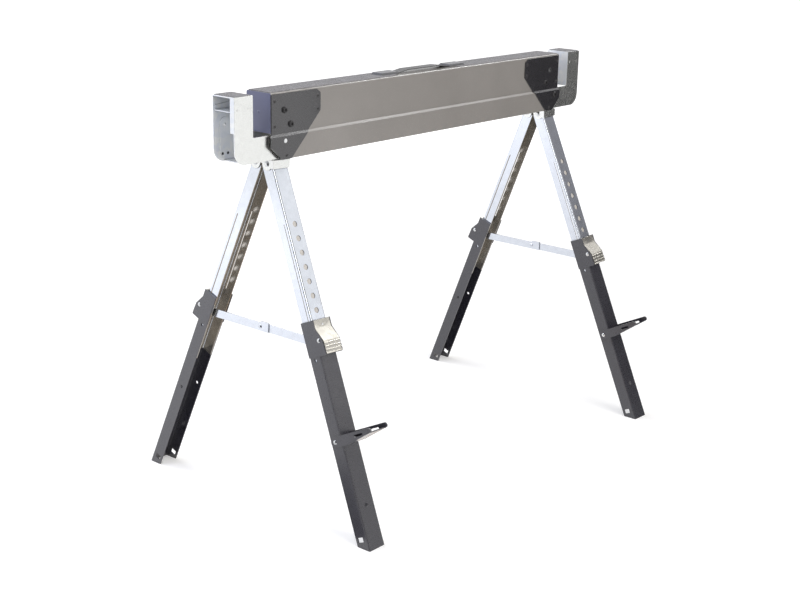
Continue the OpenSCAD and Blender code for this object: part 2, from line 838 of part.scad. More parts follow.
// Box hanger welded into the bracket arm, with a lobe around each hinge pin
module leg_hanger(side) {
  pin_y = hinge_gap / 2;
  wall_z = hanger_wall_top - hanger_wall;
  color("#dfe2e1")
    pair_frame(side)
      difference() {
        union() {
          for (s = [-1, 1])
            translate([s * (hanger_half - hanger_sheet / 2), 0, 0])
              along_x(hanger_sheet) {
                translate([-hanger_neck, 0])
                  square([2 * hanger_neck, hanger_tongue]);
                for (t = [-1, 1]) {
                  translate([t * pin_y, 0])
                    circle(r = hanger_lobe);
                  translate([t > 0 ? pin_y : -hanger_d / 2, wall_z])
                    square([hanger_d / 2 - pin_y, hanger_wall]);
                }
              }
          for (t = [0, 1])
            mirror([0, t, 0])
              translate([-hanger_half, -hanger_d / 2, wall_z])
                cube([2 * hanger_half, hanger_sheet, hanger_wall]);
        }
        for (t = [-1, 1])
          translate([0, t * pin_y, 0])
            bar_x(pin_r + run_gap, 2 * (hanger_half + cut));
      }
}
module hanger_left() { leg_hanger(LEFT); }
module hanger_right() { leg_hanger(RIGHT); }

module hinge_pins(side) {
  color("#c4c8c8")
    pair_frame(side)
      for (t = [-1, 1])
        translate([0, t * hinge_gap / 2, 0]) {
          bar_x(pin_r, 2 * hanger_half);
          for (s = [-1, 1])
            translate([s * hanger_half, 0, 0])
              rotate([0, s * 90, 0])
                dome(pin_r + bracket_sheet, bracket_sheet);
        }
}
module hinge_pins_left() { hinge_pins(LEFT); }
module hinge_pins_right() { hinge_pins(RIGHT); }

// Solid outline of a channel, web at y = face, with two round bends
module channel_skin(width, face, depth, bend) {
  translate([-width / 2, face + bend])
    square([width, depth - bend]);
  translate([-width / 2 + bend, face])
    square([width - 2 * bend, depth]);
  for (s = [-1, 1])
    translate([s * (width / 2 - bend), face + bend])
      circle(r = bend);
}

module channel_section(width, face, depth, bend) {
  difference() {
    channel_skin(width, face, depth, bend);
    channel_skin(width - 2 * leg_sheet, face + leg_sheet, depth, bend - leg_sheet);
  }
}

// Upper leg: holed channel with a guide slot in each flange and a stud for its brace link
module upper_leg(side, fb) {
  slot_top = -hole_first + 2 * guide_half;
  slot_low = lock_at + guide_half;
  stud_in = upper_half - leg_sheet;
  stud_l = stud_in - link_off + 2 * link_t + link_gap + slide_gap + leg_sheet;
  color("#dfe3e4")
    leg_frame(side, fb)
      difference() {
        union() {
          translate([0, 0, -upper_l])
            linear_extrude(height = upper_l + upper_top)
              channel_section(upper_w, upper_face, upper_d, upper_bend);
          translate([-stud_in - leg_sheet / 2, brace_depth, -brace_down])
            rotate([0, 90, 0])
              cylinder(r = brace_stud_r, h = stud_l);
        }
        difference() {
          translate([-leg_w, -leg_d, 0])
            cube([2 * leg_w, 3 * leg_d, 2 * upper_top]);
          translate([0, pivot_depth, 0])
            bar_x(upper_top, 4 * leg_w);
        }
        translate([0, pivot_depth, 0])
          bar_x(pin_r + run_gap, 2 * leg_w);
        for (k = [0 : hole_n - 1])
          translate([0, upper_face, -hole_first - k * hole_pitch])
            bar_y(hole_r, 4 * leg_sheet);
        for (s = [-1, 1])
          translate([s * upper_half, guide_depth, 0]) {
            translate([-2 * leg_sheet, -guide_half, slot_low])
              cube([4 * leg_sheet, 2 * guide_half, slot_top - slot_low]);
            for (z = [slot_low, slot_top])
              translate([0, 0, z])
                bar_x(guide_half, 4 * leg_sheet);
          }
      }
}
module upper_leg_fl() { upper_leg(LEFT, FRONT); }
module upper_leg_bl() { upper_leg(LEFT, BACK); }
module upper_leg_fr() { upper_leg(RIGHT, FRONT); }
module upper_leg_br() { upper_leg(RIGHT, BACK); }

// Lower leg: outer channel cut level with the floor, with guide studs and foot cut-outs
module lower_leg(side, fb) {
  body_l = leg_run - lower_top + leg_d;
  stud_at = lock_at + 2 * guide_half;
  color("#46464a")
    difference() {
      leg_frame(side, fb)
        difference() {
          union() {
            translate([0, 0, clip_top - body_l])
              linear_extrude(height = body_l)
                channel_section(leg_w, 0, leg_d, lower_bend);
            for (s = [-1, 1])
              translate([s * (leg_half - leg_sheet - slide_gap), guide_depth, stud_at])
                bar_x(stud_r, 2 * leg_sheet);
          }
          translate([0, 0, lock_at])
            bar_y(hole_r, 4 * leg_sheet);
          translate([0, 0, web_hole_up - leg_run])
            bar_y(web_hole_r, 4 * leg_sheet);
          translate([-leg_w, arm_depth - foot_hole_w / 2, foot_hole_up - leg_run])
            cube([2 * leg_w, foot_hole_w, foot_hole_h]);
          translate([0, arm_depth, arm_at])
            bar_x(arm_pin_r + run_gap, 2 * leg_w);
          translate([0, arm_depth, clip_top - clip_l - 2 * small_hole_r])
            bar_x(small_hole_r, 2 * leg_w);
        }
      translate([-beam_l, -beam_l, -leg_run])
        cube([2 * beam_l, 2 * beam_l, leg_run]);
    }
}
module lower_leg_fl() { lower_leg(LEFT, FRONT); }
module lower_leg_bl() { lower_leg(LEFT, BACK); }
module lower_leg_fr() { lower_leg(RIGHT, FRONT); }
module lower_leg_br() { lower_leg(RIGHT, BACK); }

// Side outline of a clip ear, as depth against height along the leg
function ear_outline() = [
  [-ear_top, clip_top], [leg_d + clip_back, clip_top], [leg_d + clip_back, clip_top - clip_l],
  [-ear_reach + lever_t, clip_top - clip_l], [-ear_reach, clip_top - clip_l + lever_t],
  [-ear_reach + ridge_r, clip_top - clip_l * ear_shares[1]],
  [-ear_top, clip_top - clip_l * ear_shares[0]]];

// U clip round the top of a lower leg, with ears that carry the lever
module latch_clip(side, fb) {
  outer_half = leg_half + clip_sheet;
  color("#3d3d40")
    leg_frame(side, fb)
      difference() {
        union() {
          for (s = [-1, 1])
            translate([s * (leg_half + clip_sheet / 2), 0, 0])
              along_x(clip_sheet) polygon(ear_outline());
          box_at(2 * outer_half, -clip_sheet, clip_sheet, clip_top - clip_l, clip_l);
        }
        translate([0, 0, lock_at])
          bar_y(hole_r, 4 * clip_sheet);
        translate([0, -lever_pin_out, lever_pin_at])
          bar_x(lever_pin_r + run_gap, 2 * (outer_half + cut));
      }
}
module clip_fl() { latch_clip(LEFT, FRONT); }
module clip_bl() { latch_clip(LEFT, BACK); }
module clip_fr() { latch_clip(RIGHT, FRONT); }
module clip_br() { latch_clip(RIGHT, BACK); }

module lever_pin(side, fb) {
  outer_half = leg_half + clip_sheet;
  color("#c4c8c8")
    leg_frame(side, fb)
      translate([0, -lever_pin_out, lever_pin_at]) {
        bar_x(lever_pin_r, 2 * outer_half);
        for (s = [-1, 1])
          translate([s * outer_half, 0, 0])
            rotate([0, s * 90, 0])
              dome(2 * lever_pin_r, lever_pin_r / 2);
      }
}
module lever_pin_fl() { lever_pin(LEFT, FRONT); }
module lever_pin_bl() { lever_pin(LEFT, BACK); }
module lever_pin_fr() { lever_pin(RIGHT, FRONT); }
module lever_pin_br() { lever_pin(RIGHT, BACK); }

// Side outline of a lever plate, as depth against height along the leg
function lever_outline() =
  let (
    base = -clip_sheet - lever_gap,
    neck = clip_top - clip_l * ear_shares[0],
    heel = clip_top - clip_l * ear_shares[1],
    low = clip_top - clip_l + ridge_r
  ) [
    [base, clip_top - lever_gap], [base - lever_t, clip_top - lever_gap], [base - lever_t, neck],
    [-ear_reach, heel], [-ear_reach, low], [-ear_reach + lever_t, low],
    [-ear_reach + lever_t, heel + lever_gap], [base, neck + lever_gap]];

// Side outline of a lever cheek, from its plate back to its barrel
function cheek_outline() = [
  [-clip_sheet - lever_gap - lever_t / 2, clip_top - clip_l * ear_shares[0]],
  [-ear_reach + lever_t / 2, clip_top - clip_l * ear_shares[1]],
  [-ear_reach + lever_t / 2, lever_pin_at - 5 * lever_pin_r], [-lever_pin_out, lever_pin_at - lever_t],
  [-lever_pin_out + lever_t, lever_pin_at]];

// Latch lever: bent plate with two cheeks on a barrel, and thumb ridges across its lower end
module latch_lever(side, fb) {
  barrel_r = lever_pin_r + lever_t;
  low = clip_top - clip_l + ridge_r;
  color("#c9c6bf")
    leg_frame(side, fb)
      difference() {
        union() {
          along_x(2 * lever_half) polygon(lever_outline());
          for (s = [-1, 1])
            translate([s * (lever_half - lever_t / 2), 0, 0])
              along_x(lever_t) polygon(cheek_outline());
          translate([0, -lever_pin_out, lever_pin_at])
            bar_x(barrel_r, 2 * lever_half);
          for (k = [0 : ridge_n - 1])
            translate([0, -ear_reach, low + ridge_r + k * ridge_pitch])
              bar_x(ridge_r, 2 * lever_half);
        }
        translate([0, -lever_pin_out, lever_pin_at])
          bar_x(lever_pin_r + run_gap, 4 * lever_half);
        translate([0, 0, lock_at])
          bar_y(lever_hole_r + run_gap, 4 * ear_reach);
      }
}
module lever_fl() { latch_lever(LEFT, FRONT); }
module lever_bl() { latch_lever(LEFT, BACK); }
module lever_fr() { latch_lever(RIGHT, FRONT); }
module lever_br() { latch_lever(RIGHT, BACK); }

// Lock pin riveted in the lever's top hole, its plug reaching into the lower leg's web
module lock_pin(side, fb) {
  seat = -clip_sheet - lever_gap;
  color("#b9bcbc")
    leg_frame(side, fb)
      translate([0, 0, lock_at])
        rotate([-90, 0, 0]) {
          translate([0, 0, seat])
            cylinder(r = lock_r, h = leg_sheet - seat);
          translate([0, 0, seat - lever_t])
            cylinder(r = lever_hole_r, h = lever_t);
        }
}
module lock_pin_fl() { lock_pin(LEFT, FRONT); }
module lock_pin_bl() { lock_pin(LEFT, BACK); }
module lock_pin_fr() { lock_pin(RIGHT, FRONT); }
module lock_pin_br() { lock_pin(RIGHT, BACK); }

// Rounded link outline from its stud to the knuckle, as Y against Z
module link_outline(lap) {
  translate([-link_stud_y, -link_half])
    square([link_stud_y + lap, link_h]);
  translate([-link_stud_y, 0])
    circle(r = link_half);
  if (lap == 0)
    circle(r = link_half);
}

// Brace link hung on an upper leg's stud; the back link laps over the front one at the knuckle
module brace_link(side, fb) {
  face = fb > 0 ? -link_off : -link_off + link_t + link_gap;
  lap = fb > 0 ? link_lap : 0;
  color("#dde1e3")
    pair_frame(side)
      translate([0, 0, link_stud_z])
        mirror([0, fb > 0 ? 1 : 0, 0])
          difference() {
            union() {
              translate([face + link_t / 2, 0, 0])
                along_x(link_t) link_outline(lap);
              if (fb > 0) {
                translate([face, 0, link_half + link_gap])
                  cube([2 * link_t + link_gap, link_lap, link_t]);
                translate([face, 0, 0])
                  cube([link_t, link_lap, link_half + link_gap + link_t]);
              }
              translate([fb > 0 ? face : face + link_t, 0, 0])
                rotate([0, fb > 0 ? -90 : 90, 0])
                  dome(knuckle_r, knuckle_h);
            }
            translate([0, -link_stud_y, 0])
              bar_x(brace_stud_r + run_gap, 2 * leg_w);
          }
}
module link_fl() { brace_link(LEFT, FRONT); }
module link_bl() { brace_link(LEFT, BACK); }
module link_fr() { brace_link(RIGHT, FRONT); }
module link_br() { brace_link(RIGHT, BACK); }

// Side outline of a support arm plate, as reach from the pivot against height
module arm_outline() {
  tip_r = arm_tip_h / 2;
  polygon([[0, arm_low], [0, -arm_low], [-arm_depth - arm_stop, -arm_low],
    [-arm_l + tip_r, arm_low - arm_tip_h], [-arm_l + tip_r, arm_low]]);
  translate([-arm_l + tip_r, arm_low - tip_r])
    circle(r = tip_r);
  circle(r = arm_low);
}

// Floor outline of a support arm along its lower edge
function arm_floor() = [
  [-arm_depth - slide_gap, -arm_low], [-arm_depth - arm_stop, -arm_low],
  [-arm_l + arm_tip_h / 2, arm_low - arm_tip_h], [-arm_l + arm_tip_h / 2, arm_low - arm_tip_h + arm_sheet],
  [-arm_depth - arm_stop, -arm_low + arm_sheet], [-arm_depth - slide_gap, -arm_low + arm_sheet]];

// Fold-out support arm: two tapered side plates joined by a floor that ends just short of the leg
module support_arm(side) {
  slot_mid = -arm_l + arm_l * arm_slot_share;
  slot_run = arm_slot_l / 2 - arm_slot_half;
  color("#3a3a3d")
    leg_frame(side, FRONT)
      translate([0, arm_depth, arm_at])
        rotate([-arm_rise, 0, 0])
          difference() {
            union() {
              for (s = [-1, 1])
                translate([s * (arm_half - arm_sheet / 2), 0, 0])
                  along_x(arm_sheet) arm_outline();
              along_x(2 * arm_half - arm_sheet) polygon(arm_floor());
            }
            bar_x(arm_pin_r + run_gap, 2 * (arm_half + cut));
            translate([-arm_half - cut, slot_mid - slot_run, 0])
              cube([2 * (arm_half + cut), 2 * slot_run, 2 * arm_slot_half]);
            for (s = [-1, 1])
              translate([0, slot_mid + s * slot_run, arm_slot_half])
                bar_x(arm_slot_half, 2 * (arm_half + cut));
          }
}
module arm_fl() { support_arm(LEFT); }
module arm_fr() { support_arm(RIGHT); }

// Short pivot rivets of a support arm, flush with the inside of the leg flanges
module arm_rivets(side) {
  inner = leg_half - leg_sheet;
  color("#d6d8d8")
    leg_frame(side, FRONT)
      for (s = [-1, 1])
        translate([s * inner, arm_depth, arm_at])
          rotate([0, s * 90, 0]) {
            cylinder(r = arm_pin_r, h = arm_half - inner);
            translate([0, 0, arm_half - inner])
              dome(arm_pin_r + rivet_h, rivet_h);
          }
}
module arm_rivets_fl() { arm_rivets(LEFT); }
module arm_rivets_fr() { arm_rivets(RIGHT); }

beam_shell();
grip_strips();
end_caps();
cap_rivets();
plate_front_left();
plate_front_right();
plate_back_left();
plate_back_right();
plate_rivets();
swing_bolt_left();
swing_bolt_right();
stop_bolts();
handle_strap();
handle_caps();
bracket_left();
post_screws_left();
shelf_left();
bracket_grip_left();
hanger_left();
hinge_pins_left();
bracket_right();
post_screws_right();
shelf_right();
bracket_grip_right();
hanger_right();
hinge_pins_right();
upper_leg_fl();
upper_leg_bl();
upper_leg_fr();
upper_leg_br();
lower_leg_fl();
lower_leg_bl();
lower_leg_fr();
lower_leg_br();
clip_fl();
clip_bl();
clip_fr();
clip_br();
lever_pin_fl();
lever_pin_bl();
lever_pin_fr();
lever_pin_br();
lever_fl();
lever_bl();
lever_fr();
lever_br();
lock_pin_fl();
lock_pin_bl();
lock_pin_fr();
lock_pin_br();
link_fl();
link_bl();
link_fr();
link_br();
arm_fl();
arm_fr();
arm_rivets_fl();
arm_rivets_fr();
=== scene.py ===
# %% [markdown]
# A folding steel trestle, dressed for a studio picture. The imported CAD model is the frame: every
# solid already stands where it belongs, in metres, with X along the beam, the support arms towards
# minus Y and Z up. This lesson keeps the frame's shapes, rounds their sheet edges, paints each piece
# as what it is made of, adds four small sleeves, and sets up the camera and the light.

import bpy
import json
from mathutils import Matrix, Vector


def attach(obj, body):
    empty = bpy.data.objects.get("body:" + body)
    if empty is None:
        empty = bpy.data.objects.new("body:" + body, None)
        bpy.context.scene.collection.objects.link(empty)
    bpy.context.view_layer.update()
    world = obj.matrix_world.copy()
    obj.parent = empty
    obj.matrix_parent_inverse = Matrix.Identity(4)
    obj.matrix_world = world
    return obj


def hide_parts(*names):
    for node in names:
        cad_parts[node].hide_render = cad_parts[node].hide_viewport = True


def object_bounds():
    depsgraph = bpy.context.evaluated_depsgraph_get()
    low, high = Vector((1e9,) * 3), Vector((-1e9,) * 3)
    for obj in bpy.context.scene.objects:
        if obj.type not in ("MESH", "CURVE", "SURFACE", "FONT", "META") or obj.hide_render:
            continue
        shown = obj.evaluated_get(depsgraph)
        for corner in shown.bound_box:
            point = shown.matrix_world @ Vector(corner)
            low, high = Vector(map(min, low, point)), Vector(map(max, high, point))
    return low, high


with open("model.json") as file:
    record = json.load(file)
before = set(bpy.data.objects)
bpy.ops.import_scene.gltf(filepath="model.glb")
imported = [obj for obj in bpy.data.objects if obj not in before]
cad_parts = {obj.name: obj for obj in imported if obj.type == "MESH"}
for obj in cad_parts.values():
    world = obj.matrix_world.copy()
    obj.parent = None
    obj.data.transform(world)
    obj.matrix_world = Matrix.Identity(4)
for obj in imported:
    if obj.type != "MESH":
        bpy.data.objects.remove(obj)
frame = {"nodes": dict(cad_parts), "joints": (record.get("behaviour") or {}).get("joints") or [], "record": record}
cad_low, cad_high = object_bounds()

# %% [markdown]
# Blender counts in metres, and a sheet-metal worker in millimetres, so real sizes are written in
# millimetres and turned with one factor. The record says which body carries each node, and which
# material slot the node has.

# %% Imports and units
import json
import math

import bmesh
import bpy
from mathutils import Matrix, Vector

MM = 0.001
scene = bpy.context.scene
nodes = frame["nodes"]
bodies = frame["record"]["behaviour"]["bodies"]
body_of_node = {node: body for body, names in bodies.items() for node in names}
slot_of_node = {part["node"]: part["material_slot"] for part in frame["record"]["subparts"]}
print("slots:", sorted(set(slot_of_node.values())))

# %% [markdown]
# The camera stands above the beam's height, off the left front corner, and looks a little down. Its
# place and lens come from the corners of the beam and the feet, so the object fills the frame as
# photographed.

# %% Camera
CAMERA_PLACE = Vector((-2229, -1862, 1182)) * MM
CAMERA_YAW, CAMERA_PITCH, CAMERA_ROLL = (math.radians(a) for a in (49.55, 16.70, 1.22))
FOCAL_PIXELS, FRAME_WIDTH_PIXELS, SENSOR_MM, FARTHEST = 1427, 800, 36, 100

camera_data = bpy.data.cameras.new("studio_camera")
camera_data.sensor_width = SENSOR_MM
camera_data.lens = SENSOR_MM * FOCAL_PIXELS / FRAME_WIDTH_PIXELS
camera_data.clip_end = FARTHEST
camera = bpy.data.objects.new("studio_camera", camera_data)
scene.collection.objects.link(camera)
look = Vector((
    math.sin(CAMERA_YAW) * math.cos(CAMERA_PITCH),
    math.cos(CAMERA_YAW) * math.cos(CAMERA_PITCH),
    -math.sin(CAMERA_PITCH),
))
aim = look.to_track_quat("-Z", "Y").to_matrix() @ Matrix.Rotation(CAMERA_ROLL, 3, "Z")
camera.matrix_world = Matrix.Translation(CAMERA_PLACE) @ aim.to_4x4()
scene.camera = camera
print("lens", round(camera_data.lens, 2), "mm")

# %% [markdown]
# Each finish is a small node tree on Object coordinates, so its grain has a real size in millimetres.
# Colours are written as the eye sees them, in sRGB hex, and turned to the linear values a shader needs.

# %% Colour and node helpers
def linear(hex_colour):
    """sRGB hex to linear RGBA."""
    parts = [int(hex_colour[i:i + 2], 16) / 255 for i in (1, 3, 5)]
    return tuple(c / 12.92 if c <= 0.04045 else ((c + 0.055) / 1.055) ** 2.4 for c in parts) + (1,)


def add(tree, kind, values=None, links=None, **settings):
    """One node with its settings, socket values and incoming links."""
    made = tree.nodes.new(kind)
    for name, value in settings.items():
        setattr(made, name, value)
    for socket, value in (values or {}).items():
        made.inputs[socket].default_value = value
    for socket, source in (links or {}).items():
        tree.links.new(source, made.inputs[socket])
    return made


def start_finish(name, **values):
    """A new material with its tree, its shader and its Object coordinates."""
    material = bpy.data.materials.new(name)
    material.use_nodes = True
    tree = material.node_tree
    shader = tree.nodes["Principled BSDF"]
    for socket, value in values.items():
        shader.inputs[socket.replace("_", " ")].default_value = value
    place = add(tree, "ShaderNodeTexCoord").outputs["Object"]
    return material, tree, shader, place


def plug(tree, shader, sources):
    """Links outputs to the sockets of a shader."""
    for socket, source in sources.items():
        tree.links.new(source, shader.inputs[socket])


def per_metre(size_mm):
    """Pattern scale for a grain of that size."""
    return 1 / (size_mm * MM)


# A Mix node in colour mode has its factor, two colours and result at these sockets
FACTOR, FIRST, SECOND, RESULT = 0, 6, 7, 2
print("half grey is", round(linear("#808080")[0], 3), "in linear light")

# %% [markdown]
# Where two pieces meet, shade falls in the corner and the eye sees a dark line; here that shade is
# painted into the colour. The corners are found by how much of the space within a few millimetres is
# open, and the colour is darkened there.

# %% Painted shade in the corners
CORNER_SHADE_REACH_MM, CORNER_SHADE_COLOUR, CORNER_SHADE_SAMPLES = 5, "#0c0b0a", 8
SHADED_OPEN_SHARE, UNSHADED_OPEN_SHARE = 0.25, 0.8
SHADED_COLOUR_SHARE = 0.3


def with_painted_corner_shade(tree, colour):
    """The colour with painted shade, darker in narrow corners."""
    near = add(tree, "ShaderNodeAmbientOcclusion", {"Distance": CORNER_SHADE_REACH_MM * MM},
               samples=CORNER_SHADE_SAMPLES)
    unshaded = add(tree, "ShaderNodeMapRange",
                {"From Min": SHADED_OPEN_SHARE, "From Max": UNSHADED_OPEN_SHARE, "To Min": SHADED_COLOUR_SHARE},
                {"Value": near.outputs["AO"]})
    mixed = add(tree, "ShaderNodeMix", {FIRST: linear(CORNER_SHADE_COLOUR)},
                {FACTOR: unshaded.outputs["Result"], SECOND: colour}, data_type="RGBA")
    return mixed.outputs[RESULT]


# Prints how far the painted shade reaches out of a corner.
print("grime reaches", CORNER_SHADE_REACH_MM, "mm out of a corner")

# %% [markdown]
# Powder coat is a plastic film baked on steel. It has a satin sheen and a faint orange-peel skin, a
# ripple about two millimetres across, drawn here a little coarser than life so that it shows. A slow
# drift of tone keeps large panels from looking printed. The plates and legs have a glossier film, which
# is drawn as a share of clear lacquer over the coat.

# %% Powder coat
PEEL_MM, PEEL_HEIGHT_MM, PEEL_STRENGTH = 2.5, 0.03, 0.2
DRIFT_MM, DRIFT_LOW, DRIFT_HIGH = 140, 0.35, 0.65
SPECK_MM, SHEEN_SPREAD = 1.6, 0.04
LACQUER_ROUGHNESS, GLOSSY_LACQUER = 0.22, 0.8


def powder_coat(name, colour, shade, roughness, lacquer=0.0):
    """Satin powder coat that drifts between two tones, under a share of clear lacquer."""
    material, tree, shader, place = start_finish(
        name, IOR=1.5, Coat_Weight=lacquer, Coat_Roughness=LACQUER_ROUGHNESS)
    drift = add(tree, "ShaderNodeTexNoise", {"Scale": per_metre(DRIFT_MM), "Detail": 3.0}, {"Vector": place})
    spread = add(tree, "ShaderNodeMapRange", {"From Min": DRIFT_LOW, "From Max": DRIFT_HIGH},
                 {"Value": drift.outputs["Fac"]})
    tone = add(tree, "ShaderNodeMix", {FIRST: linear(shade), SECOND: linear(colour)},
               {FACTOR: spread.outputs["Result"]}, data_type="RGBA")
    speck = add(tree, "ShaderNodeTexNoise", {"Scale": per_metre(SPECK_MM), "Detail": 2.0}, {"Vector": place})
    sheen = add(tree, "ShaderNodeMapRange",
                {"To Min": roughness - SHEEN_SPREAD, "To Max": roughness + SHEEN_SPREAD},
                {"Value": speck.outputs["Fac"]})
    peel = add(tree, "ShaderNodeTexNoise", {"Scale": per_metre(PEEL_MM), "Detail": 1.0}, {"Vector": place})
    bump = add(tree, "ShaderNodeBump", {"Strength": PEEL_STRENGTH, "Distance": PEEL_HEIGHT_MM * MM},
               {"Height": peel.outputs["Fac"]})
    # The base colour carries painted shade in narrow corners.
    plug(tree, shader, {"Base Color": with_painted_corner_shade(tree, tone.outputs[RESULT]),
                        "Roughness": sheen.outputs["Result"], "Normal": bump.outputs["Normal"]})
    return material


beam_coat = powder_coat("powder_coat_stone_grey", "#85827f", "#7f7c79", 0.26)
plate_coat = powder_coat("powder_coat_charcoal", "#222125", "#1e1d21", 0.28, GLOSSY_LACQUER)
cap_coat = powder_coat("powder_coat_slate_blue", "#63667e", "#5c5f77", 0.36)
leg_coat = powder_coat("powder_coat_graphite", "#28272f", "#24232b", 0.28, GLOSSY_LACQUER)
print("powder coats made")

# %% [markdown]
# The bright pieces are galvanised sheet: steel dipped in zinc and rolled smooth, so it mirrors the room.
# The zinc freezes in flat crystals, the spangle, about a centimetre across. After rolling they show only
# as a breath of tone and gloss, with fine scuffs over them, and large panels are never quite flat. The
# same tree makes the plated hardware, the dull inner sides, the leg insides with painted shade and the
# bare steel in punched holes, drawn darker as painted shade.

# %% Galvanised sheet
SPANGLE_MM = 9
SCUFF_MM, SCUFF_HEIGHT_MM, SCUFF_STRENGTH = 0.8, 0.004, 0.3
WAVE_MM, WAVE_HEIGHT_MM, WAVE_STRENGTH = 45, 0.03, 1.0


def galvanised_sheet(name, colour, shade, gloss, dull, metallic=1.0):
    """Zinc with faint spangle, between two tones and two roughnesses."""
    material, tree, shader, place = start_finish(name, Metallic=metallic)
    cells = add(tree, "ShaderNodeTexVoronoi", {"Scale": per_metre(SPANGLE_MM)}, {"Vector": place})
    split = add(tree, "ShaderNodeSeparateColor", links={"Color": cells.outputs["Color"]})
    tone = add(tree, "ShaderNodeMix", {FIRST: linear(colour), SECOND: linear(shade)},
               {FACTOR: split.outputs["Red"]}, data_type="RGBA")
    scuff = add(tree, "ShaderNodeTexNoise", {"Scale": per_metre(SCUFF_MM), "Detail": 3.0}, {"Vector": place})
    worn = add(tree, "ShaderNodeMath", links={0: split.outputs["Green"], 1: scuff.outputs["Fac"]},
               operation="MULTIPLY")
    matt = add(tree, "ShaderNodeMapRange", {"To Min": gloss, "To Max": dull},
               {"Value": worn.outputs["Value"]})
    wave = add(tree, "ShaderNodeTexNoise", {"Scale": per_metre(WAVE_MM), "Detail": 0.0}, {"Vector": place})
    panel = add(tree, "ShaderNodeBump", {"Strength": WAVE_STRENGTH, "Distance": WAVE_HEIGHT_MM * MM},
                {"Height": wave.outputs["Fac"]})
    bump = add(tree, "ShaderNodeBump", {"Strength": SCUFF_STRENGTH, "Distance": SCUFF_HEIGHT_MM * MM},
               {"Height": scuff.outputs["Fac"], "Normal": panel.outputs["Normal"]})
    # The base colour carries painted shade in narrow corners.
    plug(tree, shader, {"Base Color": with_painted_corner_shade(tree, tone.outputs[RESULT]),
                        "Roughness": matt.outputs["Result"], "Normal": bump.outputs["Normal"]})
    return material


galvanised = galvanised_sheet("galvanised_steel_sheet", "#c9cdd4", "#c4c8cf", 0.15, 0.22)
# Far darker than bare steel: the painted shade in the punched holes.
steel_with_painted_hole_shade = galvanised_sheet("bare_steel_with_painted_hole_shade", "#3a3d45", "#30333a", 0.35, 0.5)
satin_zinc = galvanised_sheet("satin_zinc_plated_sheet", "#d9dad8", "#d5d6d4", 0.24, 0.3, metallic=0.96)
# Darker and browner than the outer zinc: painted shade inside the legs, on a slightly duller finish.
zinc_with_painted_inside_shade = galvanised_sheet("dull_zinc_with_painted_shade_inside_legs", "#b7b2aa", "#ada8a0", 0.2, 0.28, metallic=0.8)
dull_zinc = galvanised_sheet("dull_zinc_inner_side", "#e2e3e2", "#d6dae0", 0.38, 0.46, metallic=0.4)
zinc_plate = galvanised_sheet("zinc_plated_steel", "#d2d3d3", "#bfc1c2", 0.18, 0.36)
lever_zinc = galvanised_sheet("zinc_plated_lever", "#bcb9b1", "#b0ada5", 0.26, 0.34)
print("zinc finishes made")

# %% [markdown]
# The grip tape is a film of mineral grit in black resin. Up close it is a carpet of dark and light
# grains; the real grit is about half a millimetre, drawn here twice as coarse so that it shows.

# %% Grip tape
GRIT_MM, GRIT_HEIGHT_MM, GRIT_STRENGTH = 1.1, 0.5, 0.7
DUST_MM, DUST_LOW, DUST_HIGH, DUST_SHARE = 40, 0.45, 0.8, 0.5


def grip_tape(name, grain, resin, dust):
    """Rough mineral grit with resin between the grains and a little dust."""
    material, tree, shader, place = start_finish(name, IOR=1.45, Roughness=0.85)
    grit = add(tree, "ShaderNodeTexVoronoi", {"Scale": per_metre(GRIT_MM)}, {"Vector": place})
    split = add(tree, "ShaderNodeSeparateColor", links={"Color": grit.outputs["Color"]})
    body = add(tree, "ShaderNodeMix", {FIRST: linear(resin), SECOND: linear(grain)},
               {FACTOR: split.outputs["Red"]}, data_type="RGBA")
    drift = add(tree, "ShaderNodeTexNoise", {"Scale": per_metre(DUST_MM), "Detail": 5.0}, {"Vector": place})
    veil = add(tree, "ShaderNodeMapRange",
               {"From Min": DUST_LOW, "From Max": DUST_HIGH, "To Max": DUST_SHARE},
               {"Value": drift.outputs["Fac"]})
    tone = add(tree, "ShaderNodeMix", {SECOND: linear(dust)},
               {FACTOR: veil.outputs["Result"], FIRST: body.outputs[RESULT]}, data_type="RGBA")
    bump = add(tree, "ShaderNodeBump", {"Strength": GRIT_STRENGTH, "Distance": GRIT_HEIGHT_MM * MM},
               {"Height": split.outputs["Green"]})
    plug(tree, shader, {"Base Color": tone.outputs[RESULT], "Normal": bump.outputs["Normal"]})
    return material


tape = grip_tape("mineral_grip_tape", "#a09fa2", "#515053", "#8c8b8d")
print("grip tape made")

# %% [markdown]
# The bolts and the plates' rivets are blackened steel, a thin oxide that is dark but still metal. The
# handle is a moulded strap of soft plastic between two hard plastic end caps; both have a fine moulded
# grain.

# %% Black oxide and moulded plastics
OXIDE_MM, OXIDE_GLOSS, OXIDE_DULL = 3, 0.3, 0.5
GRAIN_MM, GRAIN_HEIGHT_MM, GRAIN_STRENGTH, GRAIN_SPREAD = 0.9, 0.1, 0.3, 0.08


def black_oxide(name, colour, shade):
    """Oiled black oxide on steel."""
    material, tree, shader, place = start_finish(name, Metallic=0.8)
    bloom = add(tree, "ShaderNodeTexNoise", {"Scale": per_metre(OXIDE_MM), "Detail": 3.0}, {"Vector": place})
    tone = add(tree, "ShaderNodeMix", {FIRST: linear(shade), SECOND: linear(colour)},
               {FACTOR: bloom.outputs["Fac"]}, data_type="RGBA")
    matt = add(tree, "ShaderNodeMapRange", {"To Min": OXIDE_GLOSS, "To Max": OXIDE_DULL},
               {"Value": bloom.outputs["Fac"]})
    plug(tree, shader, {"Base Color": tone.outputs[RESULT], "Roughness": matt.outputs["Result"]})
    return material


